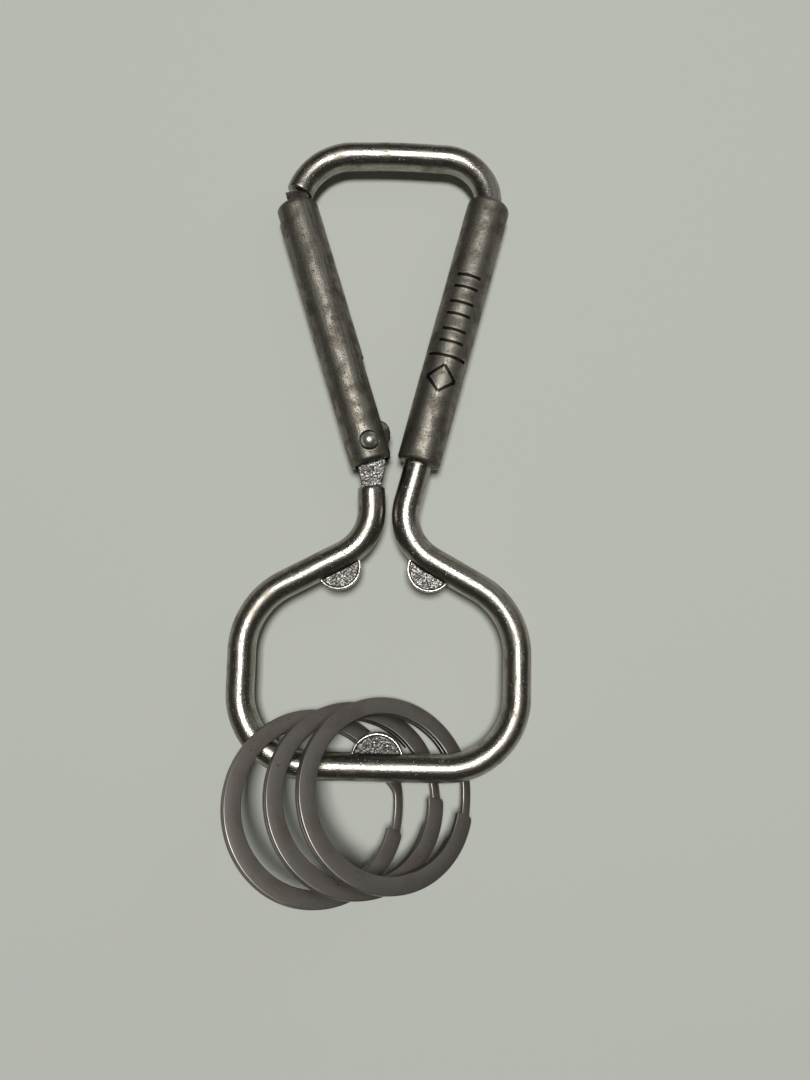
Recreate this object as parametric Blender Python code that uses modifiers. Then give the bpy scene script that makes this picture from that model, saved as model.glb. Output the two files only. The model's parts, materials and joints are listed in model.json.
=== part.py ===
"""Split key rings on a die-cast carabiner with a spring gate and a bottle-opener loop.

The carabiner lies on its back on a flat surface. Its bottom bar rests on the three split
rings that pass round it, and its two sleeves touch the surface at their upper ends.
All lengths are in metres and +Z is up. The carabiner is modelled flat in its own plane,
with X across, Y from the bottom bar to the hook and Z through its thickness; an empty
then gives it the slight slope that it rests at.
"""

import math

import bmesh
import bpy
from mathutils import Matrix, Vector

# Casting: one round bar bent round the opener loop, the waist and the hook
WIRE_D = 0.0044
SLEEVE_D = 0.0070
SLEEVE_LENGTH = 0.0449
SLEEVE_FROM_WAIST = 0.0126
SLEEVE_EDGE_R = 0.0007
SLEEVE_TOP_R = 0.0012
LOOP_WIDTH = 0.0425
LOOP_CORNER_R = 0.0110
SHOULDER_Y = 0.0242
SHOULDER_R = 0.0118
WAIST_Y = 0.0347
WAIST_LEFT_X = -0.0015
WAIST_RIGHT_X = 0.0023
WAIST_R = 0.0081
HOOK_Y = 0.0979
HOOK_LEFT_X = -0.0188
HOOK_RIGHT_X = 0.0180
HOOK_CROWN = 0.0007
HOOK_CROWN_R = 0.1000
HOOK_LEFT_R = 0.0092
HOOK_RIGHT_R = 0.0076
NOSE_DROP = 0.0070
NOSE_GAP = 0.0019

# Opener tabs: half discs that stand out of the bar into the loop
TAB_R = 0.0036
TAB_T = 0.0018
TAB_OFFSET = 0.0014
BAR_TAB_R = 0.0041
BAR_TAB_OFFSET = 0.0011
TAB_DROP = 0.0002
TAB_ROOT = 0.0004
TAB_FROM_WAIST = 0.0067
TAB_RIM = 0.0006
TAB_RECESS = 0.00025

# Hinge and gate
PIVOT_X = -0.00235
PIVOT_Y = 0.0499
PIVOT_OFFSET = 0.0005
TANG_LENGTH = 0.0069
TANG_T = 0.0024
TANG_FOOT_W = 0.0030
TANG_SHOULDER_W = 0.0046
TANG_FLARE = 0.0036
CAM_X = 0.0016
CAM_Y = 0.0013
CAM_R = 0.0021
GATE_D = 0.0070
GATE_WALL = 0.00075
GATE_BELOW_PIVOT = 0.0030
GATE_EDGE_R = 0.0007
GATE_TOP_R = 0.0012
GATE_SLOT_LENGTH = 0.0140
GATE_AIM_X = 0.0005
TONGUE_T = 0.0022
TONGUE_W = 0.0036
TONGUE_IN = 0.0007
TONGUE_ENGAGEMENT = 0.0026
BORE_D = 0.0036
BORE_LENGTH = 0.0170
RIVET_SHANK_D = 0.0020
RIVET_HEAD_D = 0.0028
RIVET_DOME = 0.0009

# Plunger and spring inside the gate
PLUNGER_HEAD_LENGTH = 0.0024
PLUNGER_STEM_D = 0.0015
PLUNGER_STEM_LENGTH = 0.0050
PLUNGER_EDGE = 0.00025
SPRING_WIRE_D = 0.0004
SPRING_TURNS = 9
SPRING_STEPS = 12

# Split rings: one flat wire in two stacked turns
RING_OD = 0.0283
RING_BAND = 0.0026
RING_LEAF_T = 0.00085
RING_LEAF_GAP = 0.00010
RING_EDGE = 0.00018
RING_JOGGLE_DEG = 34.0
RING_END_GAP_DEG = 4.0
RING_LEAN = 85.47
RING_DOWNHILL_DEG = 38.0
RING_NAMES = ("split_ring_left", "split_ring_middle", "split_ring_right")
RING_X = (-0.0087, -0.0028, 0.0018)
RING_BELOW_BAR = (0.0053, 0.0040, 0.0032)
RING_END_DEG = (-17.0, -1.0, -15.0)

# Clearances
RUNNING_FIT = 0.0001
SIDE_CLEARANCE = 0.0002
PART_GAP = 0.0003

ARC_STEP_DEG = 11.0
ROUND_SIDES = 32
SMALL_SIDES = 24
DOME_STEPS = 5
RING_STEPS = 120

COLLECTION = "split_key_ring"
CUTTERS = "split_key_ring_cutters"


# ---------------------------------------------------------------- scene and helpers

for old in list(bpy.data.objects):
    bpy.data.objects.remove(old, do_unlink=True)

part_collection = bpy.data.collections.new(COLLECTION)
cutter_collection = bpy.data.collections.new(CUTTERS)
bpy.context.scene.collection.children.link(part_collection)
bpy.context.scene.collection.children.link(cutter_collection)


def metal(name, color, roughness, metallic=1.0):
    """A plain metal finish."""
    material = bpy.data.materials.new(name)
    material.use_nodes = True
    shader = material.node_tree.nodes["Principled BSDF"]
    shader.inputs["Base Color"].default_value = (*color, 1.0)
    shader.inputs["Roughness"].default_value = roughness
    shader.inputs["Metallic"].default_value = metallic
    return material


def add_object(name, mesh, collection=part_collection):
    """Link a mesh to the scene as a new object."""
    item = bpy.data.objects.new(name, mesh)
    collection.objects.link(item)
    return item


def finish_mesh(mesh, sharp_deg=35.0):
    """Shade a round piece smooth and keep its real edges sharp."""
    mesh.shade_smooth()
    mesh.set_sharp_from_angle(angle=math.radians(sharp_deg))


def mesh_of_curve(name, curve):
    """Turn curve data into a closed mesh object, with its caps welded on."""
    source = add_object(name + "_curve", curve, cutter_collection)
    depsgraph = bpy.context.evaluated_depsgraph_get()
    mesh = bpy.data.meshes.new_from_object(source.evaluated_get(depsgraph))
    mesh.name = name
    bpy.data.objects.remove(source, do_unlink=True)
    bm = bmesh.new()
    bm.from_mesh(mesh)
    bmesh.ops.remove_doubles(bm, verts=bm.verts, dist=1e-6)
    bmesh.ops.recalc_face_normals(bm, faces=bm.faces)
    if bm.calc_volume(signed=True) < 0.0:
        bmesh.ops.reverse_faces(bm, faces=bm.faces)
    bm.to_mesh(mesh)
    bm.free()
    return add_object(name, mesh, cutter_collection)


def tube(name, points, radius, resolution):
    """A round bar along a chain of points."""
    curve = bpy.data.curves.new(name, "CURVE")
    curve.dimensions = "3D"
    curve.bevel_depth = radius
    curve.bevel_resolution = resolution
    curve.use_fill_caps = True
    spline = curve.splines.new("POLY")
    spline.points.add(len(points) - 1)
    for point, place in zip(spline.points, points):
        point.co = (*place, 1.0)
    return mesh_of_curve(name, curve)


def plate(name, outline, thickness):
    """A flat plate with the given outline in the XY plane."""
    curve = bpy.data.curves.new(name, "CURVE")
    curve.dimensions = "2D"
    curve.fill_mode = "BOTH"
    curve.extrude = thickness / 2
    spline = curve.splines.new("POLY")
    spline.points.add(len(outline) - 1)
    for point, place in zip(spline.points, outline):
        point.co = (place[0], place[1], 0.0, 1.0)
    spline.use_cyclic_u = True
    return mesh_of_curve(name, curve)


def cylinder(name, radius, start, end, edges=(0.0, 0.0), sides=ROUND_SIDES):
    """A round bar from start to end, with each end's edge rounded by its own radius."""
    axis = Vector(end) - Vector(start)
    bm = bmesh.new()
    bmesh.ops.create_cone(
        bm,
        cap_ends=True,
        segments=sides,
        radius1=radius,
        radius2=radius,
        depth=axis.length,
    )
    for edge, low, high in ((edges[0], -1.0, -0.49), (edges[1], 0.49, 1.0)):
        rims = [
            e
            for e in bm.edges
            if all(low < v.co.z / axis.length < high for v in e.verts)
        ]
        if edge > 0.0:
            bmesh.ops.bevel(
                bm, geom=rims, offset=edge, segments=3, profile=0.5, affect="EDGES"
            )
    turn = axis.to_track_quat("Z", "Y").to_matrix().to_4x4()
    middle = Matrix.Translation((Vector(start) + Vector(end)) / 2)
    bm.transform(middle @ turn)
    mesh = bpy.data.meshes.new(name)
    bm.to_mesh(mesh)
    bm.free()
    return add_object(name, mesh, cutter_collection)


def box(name, low, high, place=None):
    """A block between two corners, moved by the matrix place."""
    bm = bmesh.new()
    bmesh.ops.create_cube(bm, size=1.0)
    size = Vector(high) - Vector(low)
    middle = (Vector(high) + Vector(low)) / 2
    bm.transform(Matrix.Translation(middle) @ Matrix.Diagonal((*size, 1.0)))
    if place is not None:
        bm.transform(place)
    mesh = bpy.data.meshes.new(name)
    bm.to_mesh(mesh)
    bm.free()
    return add_object(name, mesh, cutter_collection)


def combine(base, others, operation):
    """Join others to base, or cut them from it, and use them up."""
    for other in others:
        modifier = base.modifiers.new(other.name, "BOOLEAN")
        modifier.operation = operation
        modifier.solver = "EXACT"
        modifier.use_self = True
        modifier.object = other
    depsgraph = bpy.context.evaluated_depsgraph_get()
    mesh = bpy.data.meshes.new_from_object(base.evaluated_get(depsgraph))
    base.modifiers.clear()
    base.data = mesh
    for other in others:
        bpy.data.objects.remove(other, do_unlink=True)
    return base


def make_piece(item, name, material, parent):
    """Move a finished mesh into the part's collection under its own name."""
    cutter_collection.objects.unlink(item)
    part_collection.objects.link(item)
    item.name = name
    item.data.name = name
    item.data.materials.clear()
    item.data.materials.append(material)
    finish_mesh(item.data)
    item.parent = parent
    return item


def arc(centre, radius, start, end):
    """Points on a circular arc between two angles, in radians."""
    steps = max(2, math.ceil(abs(end - start) / math.radians(ARC_STEP_DEG)))
    turns = [start + (end - start) * step / steps for step in range(steps + 1)]
    return [
        (centre[0] + radius * math.cos(a), centre[1] + radius * math.sin(a))
        for a in turns
    ]


def rounded_path(corners):
    """Straight runs between corners (x, y, radius), with an arc at each inner corner."""
    points = [Vector(corners[0][:2])]
    for before, here, after in zip(corners, corners[1:], corners[2:]):
        corner = Vector(here[:2])
        back = (Vector(before[:2]) - corner).normalized()
        ahead = (Vector(after[:2]) - corner).normalized()
        half_angle = back.angle(ahead) / 2
        centre = corner + (back + ahead).normalized() * (here[2] / math.sin(half_angle))
        reach = here[2] / math.tan(half_angle)
        first = corner + back * reach - centre
        last = corner + ahead * reach - centre
        start = math.atan2(first.y, first.x)
        sweep = math.atan2(
            first.x * last.y - first.y * last.x, first.x * last.x + first.y * last.y
        )
        points += [Vector(p) for p in arc(centre, here[2], start, start + sweep)]
    points.append(Vector(corners[-1][:2]))
    return points


def cut_path(points, stop, direction):
    """Keep the path up to the plane through stop that faces along direction."""
    kept = [points[0]]
    for here, ahead in zip(points, points[1:]):
        before = (here - stop).dot(direction)
        beyond = (ahead - stop).dot(direction)
        if before < 0.0 <= beyond:
            kept.append(here + (ahead - here) * (before / (before - beyond)))
            return kept
        kept.append(ahead)
    return kept


# ---------------------------------------------------------------- layout in the plane

half_loop = LOOP_WIDTH / 2
waist_left = Vector((WAIST_LEFT_X, WAIST_Y))
waist_right = Vector((WAIST_RIGHT_X, WAIST_Y))
shoulder_left = Vector((-half_loop, SHOULDER_Y))
shoulder_right = Vector((half_loop, SHOULDER_Y))
hook_left = Vector((HOOK_LEFT_X, HOOK_Y))
hook_right = Vector((HOOK_RIGHT_X, HOOK_Y))
hook_middle = (hook_left + hook_right) / 2 + Vector((0.0, HOOK_CROWN))

pivot = Vector((PIVOT_X, PIVOT_Y))
leg = (waist_left - pivot).normalized()
leg_side = Vector((-leg.y, leg.x))
bar_end = pivot + leg * TANG_LENGTH

# The gate's axis runs past the pivot, on its outer side, to the hook's left corner
aim = hook_left + Vector((GATE_AIM_X, 0.0))
reach = (aim - pivot).length
lean = math.asin(PIVOT_OFFSET / reach)
gate_up = Matrix.Rotation(-lean, 2) @ ((aim - pivot) / reach)
gate_in = Vector((gate_up.y, -gate_up.x))
axis_foot = pivot - gate_in * PIVOT_OFFSET
nose_at = (hook_left - axis_foot).dot(gate_up) - NOSE_DROP
gate_top = nose_at - NOSE_GAP

gate_r = GATE_D / 2
wire_r = WIRE_D / 2
slot_half = TANG_T / 2 + SIDE_CLEARANCE
outer_wall_x = -(gate_r - GATE_WALL)
eye_r = PIVOT_OFFSET - outer_wall_x - PART_GAP

# The rivet's heads sit in shallow seats, low enough to be cut into the sleeve all round
seat_r = RIVET_HEAD_D / 2 + SIDE_CLEARANCE
seat_z = math.sqrt(gate_r**2 - (PIVOT_OFFSET + seat_r) ** 2)
gate_place = Matrix(
    (
        (gate_in.x, gate_up.x, 0.0, axis_foot.x),
        (gate_in.y, gate_up.y, 0.0, axis_foot.y),
        (0.0, 0.0, 1.0, 0.0),
        (0.0, 0.0, 0.0, 1.0),
    )
)


def on_gate(x, y, z=0.0):
    """A place given across, along and through the gate, in the carabiner's plane."""
    return gate_place @ Vector((x, y, z))


# ---------------------------------------------------------------- ring places and slope

ring_r = RING_OD / 2
ring_inner_r = ring_r - RING_BAND
ring_t = 2 * RING_LEAF_T + RING_LEAF_GAP

# A thicker bar or ring makes the rings lean more: the sine grows by RING_LEAN a metre
tilt = math.asin(RING_LEAN * (WIRE_D + ring_t))
ring_centre_z = ring_r * math.sin(tilt) + ring_t / 2 * math.cos(tilt)


def casting_depth(x, y):
    """How far the bottom bar and its tab reach below their middle plane at a place."""
    depth = 0.0
    if abs(y) < wire_r:
        depth = math.sqrt(wire_r**2 - y**2)
    if y > 0.0 and math.hypot(x, y - BAR_TAB_OFFSET) < BAR_TAB_R:
        depth = max(depth, TAB_T / 2 + TAB_DROP)
    return depth


# All the rings lean the same way, and each rests on the edge that it slopes down to
downhill = Matrix.Rotation(math.radians(RING_DOWNHILL_DEG), 4, "Z")
ring_lie = downhill @ Matrix.Rotation(tilt, 4, "Y") @ downhill.inverted()

# Their right sides pass under the bottom bar, which lies on them
bar_z = wire_r
for ring_x, below in zip(RING_X, RING_BELOW_BAR):
    ring_at = Vector((ring_x, -below, ring_centre_z))
    for turn_deg in range(-90, 91):
        for edge_r in (ring_inner_r, ring_r):
            turn = math.radians(turn_deg)
            rim = Vector((edge_r * math.cos(turn), edge_r * math.sin(turn), ring_t / 2))
            place = ring_at + ring_lie @ rim
            depth = casting_depth(place.x, place.y)
            if depth > 0.0:
                bar_z = max(bar_z, place.z + depth + PART_GAP)

sleeve_along = (hook_right - waist_right).normalized()
sleeve_start = waist_right + sleeve_along * SLEEVE_FROM_WAIST
sleeve_end = sleeve_start + sleeve_along * SLEEVE_LENGTH
rest_slope = math.asin((bar_z - SLEEVE_D / 2) / sleeve_end.y)

carabiner = bpy.data.objects.new("carabiner_rest", None)
part_collection.objects.link(carabiner)
carabiner.location = (0.0, 0.0, bar_z)
carabiner.rotation_euler = (-rest_slope, 0.0, 0.0)

gate_hinge = bpy.data.objects.new("gate_hinge", None)
part_collection.objects.link(gate_hinge)
gate_hinge.parent = carabiner
gate_hinge.location = (pivot.x, pivot.y, 0.0)
to_hinge = Matrix.Translation((-pivot.x, -pivot.y, 0.0))

cast_metal = metal("antique_cast_zinc", (0.30, 0.29, 0.27), 0.38)
gate_metal = metal("antique_cast_gate", (0.29, 0.28, 0.26), 0.38)
rivet_metal = metal("nickel_rivet", (0.55, 0.54, 0.51), 0.28)
spring_metal = metal("spring_steel", (0.42, 0.42, 0.43), 0.30)
plunger_metal = metal("plunger_steel", (0.40, 0.40, 0.40), 0.35)


# ---------------------------------------------------------------- carabiner frame

def make_frame():
    """The casting: bar, fixed sleeve, opener tabs, hinge tang and latch tongue."""
    corners = [
        (*bar_end, 0.0),
        (*waist_left, WAIST_R),
        (*shoulder_left, SHOULDER_R),
        (-half_loop, 0.0, LOOP_CORNER_R),
        (half_loop, 0.0, LOOP_CORNER_R),
        (*shoulder_right, SHOULDER_R),
        (*waist_right, WAIST_R),
        (*hook_right, HOOK_RIGHT_R),
        (*hook_middle, HOOK_CROWN_R),
        (*hook_left, HOOK_LEFT_R),
        (*axis_foot, 0.0),
    ]
    nose = axis_foot + gate_up * nose_at
    route = cut_path(rounded_path(corners), nose, -gate_up)
    frame = tube("frame_bar", [(p.x, p.y, 0.0) for p in route], wire_r, 4)

    sleeve = cylinder(
        "sleeve",
        SLEEVE_D / 2,
        (*sleeve_start, 0.0),
        (*sleeve_end, 0.0),
        (SLEEVE_EDGE_R, SLEEVE_TOP_R),
    )
    additions = [sleeve, make_tang(), make_tongue()]
    additions += make_tabs()
    combine(frame, additions, "UNION")
    hole = cylinder(
        "tang_hole",
        RIVET_SHANK_D / 2 + RUNNING_FIT,
        (*pivot, -TANG_T),
        (*pivot, TANG_T),
        sides=SMALL_SIDES,
    )
    combine(frame, [hole], "DIFFERENCE")
    return make_piece(frame, "carabiner_frame", cast_metal, carabiner)


def half_disc(middle, inward, radius, offset):
    """Outline of a round tab that ends just past the bar's axis, inside the bar."""
    facing = math.atan2(inward.y, inward.x)
    sweep = math.pi / 2 + math.asin((offset + TAB_ROOT) / radius)
    return arc(middle, radius, facing - sweep, facing + sweep)


def make_tabs():
    """Three half-round tabs with a recessed face, which stand out of the bar."""
    slope_left = (shoulder_left - waist_left).normalized()
    slope_right = (shoulder_right - waist_right).normalized()
    left_in = Vector((-slope_left.y, slope_left.x))
    right_in = Vector((slope_right.y, -slope_right.x))
    places = [
        (waist_left + slope_left * TAB_FROM_WAIST, left_in, TAB_R, TAB_OFFSET),
        (waist_right + slope_right * TAB_FROM_WAIST, right_in, TAB_R, TAB_OFFSET),
        (Vector((0.0, 0.0)), Vector((0.0, 1.0)), BAR_TAB_R, BAR_TAB_OFFSET),
    ]
    tabs = []
    for number, (foot, inward, radius, offset) in enumerate(places):
        middle = foot + inward * offset
        tab = plate(f"tab_{number}", half_disc(middle, inward, radius, offset), TAB_T)
        outline = half_disc(middle, inward, radius - TAB_RIM, offset)
        recess = plate(f"tab_face_{number}", outline, TAB_T)
        recess.data.transform(Matrix.Translation((0.0, 0.0, TAB_T - TAB_RECESS)))
        combine(tab, [recess], "DIFFERENCE")
        tab.data.transform(Matrix.Translation((0.0, 0.0, -TAB_DROP)))
        tabs.append(tab)
    return tabs


def make_tang():
    """The flat hinge tang: an eye round the rivet with a cam that lifts the plunger."""
    eye = cylinder("tang_eye", eye_r, (*pivot, -TANG_T / 2), (*pivot, TANG_T / 2))
    cam_at = pivot + gate_in * CAM_X + gate_up * CAM_Y
    cam = cylinder("tang_cam", CAM_R, (*cam_at, -TANG_T / 2), (*cam_at, TANG_T / 2))
    root = bar_end + leg * PART_GAP
    foot = leg_side * (TANG_FOOT_W / 2)
    outer = outer_wall_x + PART_GAP
    inner = outer + TANG_SHOULDER_W
    shoulders = [
        on_gate(inner, -TANG_FLARE),
        on_gate(inner, 0.0),
        on_gate(outer, 0.0),
        on_gate(outer, -TANG_FLARE),
    ]
    outline = [root + foot, *shoulders, root - foot]
    neck = plate("tang_neck", outline, TANG_T)
    return combine(neck, [eye, cam], "UNION")


def make_tongue():
    """The flat tongue under the nose, which the gate's top slot closes over."""
    low = gate_top - TONGUE_ENGAGEMENT
    buried = nose_at + PART_GAP
    return box(
        "tongue",
        (TONGUE_IN - TONGUE_W / 2, low, -TONGUE_T / 2),
        (TONGUE_IN + TONGUE_W / 2, buried, TONGUE_T / 2),
        gate_place,
    )


# ---------------------------------------------------------------- gate and its rivet

def make_gate():
    """A cast sleeve, slotted for the tang below and for the tongue above."""
    gate = cylinder(
        "gate_body",
        gate_r,
        on_gate(0.0, -GATE_BELOW_PIVOT),
        on_gate(0.0, gate_top),
        (GATE_EDGE_R, GATE_TOP_R),
    )
    hinge_slot = box(
        "hinge_slot",
        (outer_wall_x, -GATE_D, -slot_half),
        (GATE_D, GATE_SLOT_LENGTH, slot_half),
        gate_place,
    )
    tongue_slot = box(
        "tongue_slot",
        (-GATE_D, gate_top - TONGUE_ENGAGEMENT - PART_GAP, -TONGUE_T / 2 - SIDE_CLEARANCE),
        (TONGUE_IN + TONGUE_W / 2 + PART_GAP, gate_top + GATE_D, TONGUE_T / 2 + SIDE_CLEARANCE),
        gate_place,
    )
    bore = cylinder(
        "spring_bore",
        BORE_D / 2,
        on_gate(0.0, -GATE_D),
        on_gate(0.0, BORE_LENGTH),
        sides=SMALL_SIDES,
    )
    rivet_hole = cylinder(
        "gate_rivet_hole",
        RIVET_SHANK_D / 2 + RUNNING_FIT,
        (*pivot, -GATE_D),
        (*pivot, GATE_D),
        sides=SMALL_SIDES,
    )
    cutters = [hinge_slot, tongue_slot, bore, rivet_hole]
    for side in (-1.0, 1.0):
        cutters.append(
            cylinder(
                f"head_seat_{side:.0f}",
                seat_r,
                (*pivot, side * seat_z),
                (*pivot, side * GATE_D),
                sides=SMALL_SIDES,
            )
        )
    combine(gate, cutters, "DIFFERENCE")
    gate.data.transform(to_hinge)
    return make_piece(gate, "gate", gate_metal, gate_hinge)


def make_rivet():
    """A pin with a domed head at each end, turned as one profile."""
    head_r = RIVET_HEAD_D / 2
    shank_r = RIVET_SHANK_D / 2
    under_head = seat_z + SIDE_CLEARANCE
    crown_z = gate_r + RIVET_DOME
    profile = [(0.0, crown_z)]
    for step in range(1, DOME_STEPS + 1):
        turn = math.pi / 2 * step / DOME_STEPS
        profile.append(
            (head_r * math.sin(turn), under_head + (crown_z - under_head) * math.cos(turn))
        )
    profile.append((shank_r, under_head))
    lower = [(r, -z) for r, z in reversed(profile)]
    return turned("gate_rivet", profile + lower, rivet_metal, gate_hinge)


def turned(name, profile, material, parent):
    """A solid of revolution round Z from a profile (radius, height), top to bottom."""
    mesh = bpy.data.meshes.new(name)
    edges = [(i, i + 1) for i in range(len(profile) - 1)]
    mesh.from_pydata([(r, 0.0, z) for r, z in profile], edges, [])
    item = add_object(name, mesh, cutter_collection)
    screw = item.modifiers.new("turn", "SCREW")
    screw.steps = SMALL_SIDES
    screw.render_steps = SMALL_SIDES
    screw.use_merge_vertices = True
    screw.merge_threshold = 0.000001
    depsgraph = bpy.context.evaluated_depsgraph_get()
    solid = bpy.data.meshes.new_from_object(item.evaluated_get(depsgraph))
    item.modifiers.clear()
    item.data = solid
    return make_piece(item, name, material, parent)


# ---------------------------------------------------------------- plunger and spring

cam_top = max(eye_r, CAM_Y + CAM_R)
plunger_base = cam_top + RUNNING_FIT
spring_base = plunger_base + PLUNGER_HEAD_LENGTH + RUNNING_FIT
spring_top = BORE_LENGTH - RUNNING_FIT
along_gate = Matrix(
    (
        (gate_in.x, 0.0, gate_up.x, 0.0),
        (gate_in.y, 0.0, gate_up.y, 0.0),
        (0.0, -1.0, 0.0, 0.0),
        (0.0, 0.0, 0.0, 1.0),
    )
)


def make_plunger():
    """A headed pin that the spring pushes down on the tang's cam."""
    head_r = BORE_D / 2 - SIDE_CLEARANCE
    stem_r = PLUNGER_STEM_D / 2
    profile = [
        (0.0, PLUNGER_HEAD_LENGTH + PLUNGER_STEM_LENGTH),
        (stem_r, PLUNGER_HEAD_LENGTH + PLUNGER_STEM_LENGTH),
        (stem_r, PLUNGER_HEAD_LENGTH),
        (head_r, PLUNGER_HEAD_LENGTH),
        (head_r, PLUNGER_EDGE),
        (head_r - PLUNGER_EDGE, 0.0),
        (0.0, 0.0),
    ]
    plunger = turned("spring_plunger", profile, plunger_metal, gate_hinge)
    plunger.matrix_local = to_hinge @ Matrix.Translation(on_gate(0.0, plunger_base)) @ along_gate
    return plunger


def make_spring():
    """A short compression coil between the plunger's head and the end of the bore."""
    wire = SPRING_WIRE_D / 2
    coil_r = BORE_D / 2 - SIDE_CLEARANCE - SPRING_WIRE_D / 2 - RUNNING_FIT
    low = spring_base + wire
    high = spring_top - wire
    steps = SPRING_STEPS * SPRING_TURNS
    points = []
    for step in range(steps + 1):
        turn = 2 * math.pi * step / SPRING_STEPS
        height = low + (high - low) * step / steps
        points.append((coil_r * math.cos(turn), coil_r * math.sin(turn), height))
    coil = tube("coil", points, wire, 1)
    coil.data.transform(to_hinge @ Matrix.Translation(on_gate(0.0, 0.0)) @ along_gate)
    return make_piece(coil, "gate_spring", spring_metal, gate_hinge)


# ---------------------------------------------------------------- split rings

def leaf_height(turn_deg):
    """Height of the flat wire's middle in the stack, along its two turns."""
    step = RING_LEAF_T / 2 + RING_LEAF_GAP / 2
    joggle_end = 360.0 - RING_END_GAP_DEG
    joggle_start = joggle_end - RING_JOGGLE_DEG
    if turn_deg <= joggle_start:
        return step
    if turn_deg >= joggle_end:
        return -step
    share = (turn_deg - joggle_start) / RING_JOGGLE_DEG
    return step * math.cos(math.pi * share)


def make_ring(name, x, below, end_deg):
    """One flat wire wound twice, with a joggle where it drops to the lower turn."""
    middle_r = ring_r - RING_BAND / 2
    length_deg = 720.0 - RING_JOGGLE_DEG - 2 * RING_END_GAP_DEG
    spline_points = []
    for step in range(RING_STEPS + 1):
        turn_deg = length_deg * step / RING_STEPS
        turn = -math.radians(turn_deg)
        spline_points.append(
            (middle_r * math.cos(turn), middle_r * math.sin(turn), leaf_height(turn_deg))
        )
    half_w = RING_BAND / 2
    half_t = RING_LEAF_T / 2
    edge = RING_EDGE
    section = [
        (half_w, half_t - edge), (half_w - edge, half_t),
        (edge - half_w, half_t), (-half_w, half_t - edge),
        (-half_w, edge - half_t), (edge - half_w, -half_t),
        (half_w - edge, -half_t), (half_w, edge - half_t),
    ]
    profile = bpy.data.curves.new(name + "_section", "CURVE")
    profile.dimensions = "2D"
    outline = profile.splines.new("POLY")
    outline.points.add(len(section) - 1)
    for point, place in zip(outline.points, section):
        point.co = (place[0], place[1], 0.0, 1.0)
    outline.use_cyclic_u = True
    section_object = add_object(name + "_section", profile, cutter_collection)

    curve = bpy.data.curves.new(name, "CURVE")
    curve.dimensions = "3D"
    curve.twist_mode = "Z_UP"
    curve.bevel_mode = "OBJECT"
    curve.bevel_object = section_object
    curve.use_fill_caps = True
    spline = curve.splines.new("POLY")
    spline.points.add(len(spline_points) - 1)
    for point, place in zip(spline.points, spline_points):
        point.co = (*place, 1.0)
    ring = mesh_of_curve(name + "_wire", curve)
    bpy.data.objects.remove(section_object, do_unlink=True)

    finish = metal(name + "_steel", (0.20, 0.19, 0.18), 0.42)
    make_piece(ring, name, finish, None)
    end_turn = Matrix.Rotation(math.radians(end_deg), 4, "Z")
    ring_at = Matrix.Translation((x, -below, ring_centre_z))
    ring.matrix_world = ring_at @ ring_lie @ end_turn
    return ring


# ---------------------------------------------------------------- assembly

frame = make_frame()
gate = make_gate()
rivet = make_rivet()
plunger = make_plunger()
spring = make_spring()
rings = [
    make_ring(*values)
    for values in zip(RING_NAMES, RING_X, RING_BELOW_BAR, RING_END_DEG)
]

# Put the middle of the whole footprint over the origin, resting on the XY plane
bpy.context.view_layer.update()
corners_seen = [
    item.matrix_world @ vertex.co
    for item in part_collection.objects
    if item.type == "MESH"
    for vertex in item.data.vertices
]
lowest = Vector([min(c[axis] for c in corners_seen) for axis in range(3)])
highest = Vector([max(c[axis] for c in corners_seen) for axis in range(3)])
middle = (lowest + highest) / 2
shift = Vector((-middle.x, -middle.y, -lowest.z))
for item in (carabiner, *rings):
    item.location = item.location + shift
bpy.context.view_layer.update()
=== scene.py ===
"""Three split rings on a cast carabiner with a spring gate, lying on a table."""

import json
import math

import bmesh
import bpy
from mathutils import Matrix, Vector, noise


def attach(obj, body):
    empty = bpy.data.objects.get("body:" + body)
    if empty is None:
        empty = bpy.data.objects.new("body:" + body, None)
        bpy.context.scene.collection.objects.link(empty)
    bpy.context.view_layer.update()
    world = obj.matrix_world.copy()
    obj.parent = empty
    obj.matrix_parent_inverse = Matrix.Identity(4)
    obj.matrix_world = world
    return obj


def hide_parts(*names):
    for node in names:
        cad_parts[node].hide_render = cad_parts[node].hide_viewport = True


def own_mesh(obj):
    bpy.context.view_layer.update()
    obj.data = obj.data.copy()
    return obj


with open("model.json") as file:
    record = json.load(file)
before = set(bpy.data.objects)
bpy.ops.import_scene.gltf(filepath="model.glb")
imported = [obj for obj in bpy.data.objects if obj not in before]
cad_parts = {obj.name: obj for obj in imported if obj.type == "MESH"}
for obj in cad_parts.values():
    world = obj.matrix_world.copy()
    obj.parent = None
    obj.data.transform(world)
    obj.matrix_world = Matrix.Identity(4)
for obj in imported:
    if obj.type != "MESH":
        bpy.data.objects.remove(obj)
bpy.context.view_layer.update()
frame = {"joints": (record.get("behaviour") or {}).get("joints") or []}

scene = bpy.context.scene


# ---------------------------------------------------------------- table, lamp and camera
# The ring lies on a plain pale table, face up. One soft lamp hangs almost straight above
# it in a dim room, with a weak wide fill, and the camera looks down from close by.

FLOOR_SIZE = 3.0
FLOOR_COLOUR = (0.60, 0.62, 0.56)
LAMP_SIZE = 0.24
LAMP_HEIGHT = 1.0
LAMP_POWER = 7.4
LAMP_LEAN_DEG = 6.0
FILL_SIZE = 1.6
FILL_POWER = 2.4
FILL_PLACE = (1.3, 1.2, 0.9)
ROOM_COLOUR = (0.040, 0.040, 0.038)
LOOK_AT = Vector((0.003534, -0.006127, 0.0053))
VIEW_TILT = math.radians(5.0)
VIEW_ROLL = math.radians(1.303)
VIEW_DISTANCE = 0.12662
LENS_MM = 27.03
SENSOR_MM = 36.0
CLIP_START = 0.005
TABLE_ROUGH = 0.9
MIXED_COLOUR = 2  # the output of a Mix node that carries a colour


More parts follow.
